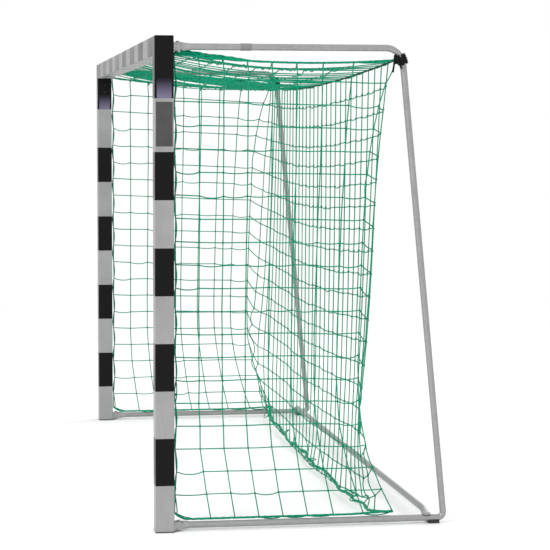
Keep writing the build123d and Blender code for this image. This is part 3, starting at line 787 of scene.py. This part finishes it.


# When the goal folds, the front of the top net stays on the crossbar and its rear goes all the way
# with the rear net. Here the top net is made as one piece for each strip of meshes.
chosen = links_of("top")
row_of = {number: row for row in range(DEPTH_MESHES + 1) for number in top_grid[row]}
link_row = np.array([min(row_of[a], row_of[b]) for a, b in zip(link_a[chosen], link_b[chosen])])
rim = np.r_[top_grid[:, 0], top_grid[:, -1], top_grid[0], top_grid[-1]]
border = np.isin(link_a[chosen], rim) & np.isin(link_b[chosen], rim)
NO_KNOTS = np.array([], int)  # the front row is threaded through the hooks
for strip in range(DEPTH_MESHES):
    inside = (link_row == strip) & ~border
    numbers = top_grid[strip, 1:-1] if strip else NO_KNOTS
    points, faces = net_mesh(chosen[inside], numbers)
    piece = new_piece(f"top_net_strip_{strip + 1}", points, faces, net_green, "green_net")
    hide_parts("net_top")
    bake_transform(piece)


# ---------------------------------------------------------------- border ropes
def rope_piece(name, path, diameter, material, slot):
    points, faces = laid_rope(path, diameter / 2)
    return new_piece(name, points, faces, material, slot)


fine = np.linspace(0, 1, 160)
for side_name, side in SIDES.items():
    foot_z = NET_BOTTOM_Z + BOTTOM_ROPE_LIFT - 0.010
    line = post_front(side_name, np.linspace(foot_z, NET_FRONT_TOP_Z, 200))
    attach(rope_piece(f"post_cord_{side_name}", line, BORDER, rope_green, "green_net"), "frame")
    for name, line in (
        ("side_top_rope", side_top(side_name, fine)),
        ("side_bottom_rope", side_bottom(side_name, fine)),
    ):
        piece = rope_piece(f"{name}_{side_name}", line, SIDE_ROPE, rope_green, "green_net")
        blend_at_hinge(piece, side_name, side * BRACKET_X)
    half_x = side * np.linspace(NET_X, 0, 200)
    for name, line, diameter, material, slot in (
        ("rear_top_rope", rear_top(half_x), BLACK_ROPE, rope_black, "black_cord"),
        ("rear_bottom_rope", rear_bottom(half_x), BOTTOM_ROPE, rope_green, "green_net"),
    ):
        piece = rope_piece(f"{name}_{side_name}", line, diameter, material, slot)
        blend_at_corner(piece, side_name)
line = bar_front(np.linspace(-NET_X, NET_X, 400))
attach(rope_piece("crossbar_cord", line, BORDER, rope_green, "green_net"), "frame")

# ---------------------------------------------------------------- bunched meshes under the top tubes
BUNCH_OFFSET = 0.045  # from the top tube's axis to the left bunch, towards the middle of the goal
BUNCH_START = 0.085  # behind the posts
BUNCH_LENGTH = 0.905
# how the left bunch hangs: depth behind the posts and height
BUNCH_HANG = ((0.08, 0.25, 0.64, 0.99), (2.026, 2.024, 1.985, 1.951))
# how thick each bunch is along its length, and how many cords it holds
LEFT_THICKNESS = ((0, 0.07, 0.3, 0.95, 1), (0.012, 0.050, 0.040, 0.054, 0.026))
LEFT_CORDS = 80
RIGHT_THICKNESS = ((0, 0.3, 0.8, 1), (0.030, 0.030, 0.016, 0.006))
RIGHT_CORDS = 26
RIGHT_REACH = 0.34  # share of the side's top rope that the right bunch covers
RIGHT_OFFSET = 0.012  # from that rope, towards the middle of the goal


def bunch(path, thickness, cords):
    """Cords that wander round a path; thickness is the bunch's diameter at each of the path's points."""
    share = np.linspace(0, 1, len(path))
    lines = []
    for _ in range(cords):
        phase, turn, waves, swell = rng.uniform((0, 0, 1.0, 2.0), (6.28, 6.28, 3.0, 6.0))
        angle = phase + 1.3 * np.sin(2 * math.pi * waves * share + turn)
        swelling = 0.8 + 0.2 * np.sin(2 * math.pi * swell * share + phase)
        out = thickness / 2 * math.sqrt(rng.random()) * swelling
        lines.append(path + np.stack([out * np.cos(angle), 0 * out, out * np.sin(angle)], axis=1))
    return tubes(np.array(lines), np.tile([1.0, 0.0, 0.0], (cords, 1)), CORD / 2, CORD_SIDES)


along = np.linspace(0, 1, 90)
behind_post = BUNCH_START + BUNCH_LENGTH * along
left_x = np.full_like(along, BUNCH_OFFSET - BRACKET_X)
left_path = np.stack([left_x, POST_REAR + behind_post, np.interp(behind_post, *BUNCH_HANG)], axis=1)
right_path = side_top("right", 0.005 + RIGHT_REACH * along)
right_path[:, 0] -= RIGHT_OFFSET
right_path[:, 2] += 0.010 - 0.008 * along
for side_name, path, thickness, cords in (
    ("left", left_path, LEFT_THICKNESS, LEFT_CORDS),
    ("right", right_path, RIGHT_THICKNESS, RIGHT_CORDS),
):
    points, faces = bunch(path, np.interp(along, *thickness), cords)
    # painted light: the bunches use the lighter copy of the net's cord
    piece = new_piece(f"bunched_net_{side_name}", points, faces, lit_bunch_green, "green_net")
    blend_at_hinge(piece, side_name, path[0, 0])

# ---------------------------------------------------------------- corner lashings
TIE_ROPE = 0.009
TIE_TURNS = 5
TIE_PITCH = TIE_ROPE * 0.85  # the turns bed into each other
TIE_MIDDLE = 0.092  # along the leg's centre line from the start of its bend
TIE_RUNS = 3  # ropes from the coil to the net's corner
RUN_SPACING = 0.009
RUN_SAG = 0.006
TAIL_ROPE = TIE_ROPE * 0.9
KNOT_SIZE = (0.013, 0.010, 0.014)
KNOT_STAND_OFF = 0.010  # from the leg's surface
TAIL_LENGTHS = ((1, 0.055), (-1, 0.040))  # which way each tail leans, and how far it hangs


def leg_centre(s):
    """A point and direction (y, z) on the leg's centre line, s metres past the start of its top bend."""
    turn = math.pi / 2 - LEG_LEAN
    tangent = TOP_BEND * math.tan(turn / 2)
    angle = min(s / TOP_BEND, turn)
    beyond = max(0.0, s - TOP_BEND * turn)
    y = LEG_TOP_Y - tangent + TOP_BEND * math.sin(angle) + beyond * math.cos(angle)
    z = TOP_TUBE_Z - TOP_BEND + TOP_BEND * math.cos(angle) - beyond * math.sin(angle)
    return y, z, math.cos(angle), -math.sin(angle)


def tie_coil(side):
    """The rope wound round the leg just below its top bend."""
    coil = []
    radius = TUBE_RADIUS + TIE_ROPE / 2
    for t in np.linspace(0, 1, 240):
        y, z, along_y, along_z = leg_centre(TIE_MIDDLE + (t - 0.5) * TIE_TURNS * TIE_PITCH)
        angle = 2 * math.pi * TIE_TURNS * t
        off_x = radius * math.cos(angle) * side
        off_out = radius * math.sin(angle)
        coil.append((side * BRACKET_X + off_x, y - along_z * off_out, z + along_y * off_out))
    return np.array(coil)


def tie_runs(side_name, y, z):
    """The ropes from the coil at (y, z) to the net's corner."""
    side = SIDES[side_name]
    corner = rear_edge(side_name, np.zeros(1))[0]
    t = np.linspace(0, 1, 40)[:, None]
    for k in range(TIE_RUNS):
        place = k - (TIE_RUNS - 1) / 2
        start = np.array(
            [
                side * (BRACKET_X + 0.006 * place),
                y - TUBE_RADIUS - 0.002,
                z + RUN_SPACING * place,
            ]
        )
        line = start + (corner - start) * t
        line[:, 2] -= RUN_SAG * np.sin(math.pi * t[:, 0])
        yield line


def tie_knot(side, centre):
    """A rope that loops twice round itself."""
    turn = np.linspace(0, 4 * math.pi, 120)
    across, deep, tall = KNOT_SIZE
    loop = (
        across * np.sin(turn) * side,
        deep * np.cos(turn * 1.5),
        tall * np.cos(turn) + 0.004 * np.sin(3 * turn),
    )
    return centre + np.stack(loop, axis=1)


def tie_tail(side, centre, lean, length):
    """An end of the rope that hangs out of the knot."""
    t = np.linspace(0, 1, 30)
    tail = (
        side * (0.010 + 0.012 * t),
        -0.004 - lean * 0.018 * t,
        -length * t**1.3 + 0.010 * np.sin(math.pi * t) * (1 + lean),
    )
    return centre + np.stack(tail, axis=1)


for side_name, side in SIDES.items():
    y, z, _, _ = leg_centre(TIE_MIDDLE)
    knot_centre = np.array([side * (BRACKET_X + 0.004), y - TUBE_RADIUS - KNOT_STAND_OFF, z + 0.002])
    parts = [laid_rope(tie_coil(side), TIE_ROPE / 2)]
    parts += [laid_rope(line, TIE_ROPE / 2) for line in tie_runs(side_name, y, z)]
    parts.append(laid_rope(tie_knot(side, knot_centre), TIE_ROPE / 2))
    for lean, length in TAIL_LENGTHS:
        parts.append(laid_rope(tie_tail(side, knot_centre, lean, length), TAIL_ROPE / 2))
    points, faces = joined(*parts)
    piece = new_piece(f"corner_lashing_{side_name}", points, faces, rope_black, "black_cord")
    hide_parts(f"corner_tie_{side_name}")
    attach(piece, f"bracket_{side_name}")

# ---------------------------------------------------------------- floor, light and camera
FLOOR_RADIUS = 40.0
SHADED_FLOOR = (4.0, 9.0)  # the floor fades into the background between these distances


def pale_floor(name):
    """Matt floor that fades into the white background at a distance from the goal."""
    made, tree, node = shader(name)
    node.inputs["Base Color"].default_value = (0.90, 0.90, 0.90, 1)
    node.inputs["Roughness"].default_value = 0.8
    glow = tree.nodes.new("ShaderNodeEmission")
    glow.inputs["Color"].default_value = (1, 1, 1, 1)
    mixer = tree.nodes.new("ShaderNodeMixShader")
    place = tree.nodes.new("ShaderNodeTexCoord")
    distance = tree.nodes.new("ShaderNodeVectorMath")
    distance.operation = "LENGTH"
    fade = tree.nodes.new("ShaderNodeMapRange")
    fade.interpolation_type = "SMOOTHSTEP"
    fade.inputs["From Min"].default_value = SHADED_FLOOR[0]
    fade.inputs["From Max"].default_value = SHADED_FLOOR[1]
    tree.links.new(place.outputs["Object"], distance.inputs[0])
    tree.links.new(distance.outputs["Value"], fade.inputs["Value"])
    tree.links.new(fade.outputs["Result"], mixer.inputs["Fac"])
    tree.links.new(node.outputs["BSDF"], mixer.inputs[1])
    tree.links.new(glow.outputs["Emission"], mixer.inputs[2])
    tree.links.new(mixer.outputs["Shader"], tree.nodes["Material Output"].inputs["Surface"])
    return made


bpy.ops.mesh.primitive_circle_add(vertices=96, radius=FLOOR_RADIUS, fill_type="NGON")
floor = bpy.context.object
floor.name = "floor"
floor.data.materials.append(pale_floor("floor"))

world = bpy.data.worlds.new("studio")
bpy.context.scene.world = world
world.use_nodes = True
world.node_tree.nodes["Background"].inputs["Color"].default_value = (1, 1, 1, 1)
world.node_tree.nodes["Background"].inputs["Strength"].default_value = 1.0


def area_light(name, place, target, size, power):
    data = bpy.data.lights.new(name, "AREA")
    data.shape = "DISK"
    data.size = size
    data.energy = power
    light = bpy.data.objects.new(name, data)
    light.location = place
    light.rotation_mode = "QUATERNION"
    light.rotation_quaternion = (Vector(target) - Vector(place)).to_track_quat("-Z", "Y")
    bpy.context.scene.collection.objects.link(light)


area_light("key_light", (5.0, -4.5, 5.5), (0, 0, 0.9), 3.0, 260)
area_light("rim_light", (-4.0, 5.0, 5.0), (0, 0, 1.0), 3.0, 120)

camera_data = bpy.data.cameras.new("camera")
camera_data.lens = LENS
camera_data.sensor_width = 36
camera_data.shift_x = SHIFT_X
camera_data.clip_end = 200
camera = bpy.data.objects.new("camera", camera_data)
camera.location = CAMERA_PLACE
forward = Vector(
    (
        -math.cos(CAMERA_YAW) * math.cos(CAMERA_PITCH),
        math.sin(CAMERA_YAW) * math.cos(CAMERA_PITCH),
        -math.sin(CAMERA_PITCH),
    )
)
camera.rotation_mode = "QUATERNION"
camera.rotation_quaternion = forward.to_track_quat("-Z", "Y")
bpy.context.scene.collection.objects.link(camera)
bpy.context.scene.camera = camera
bpy.context.scene.view_settings.view_transform = "Standard"
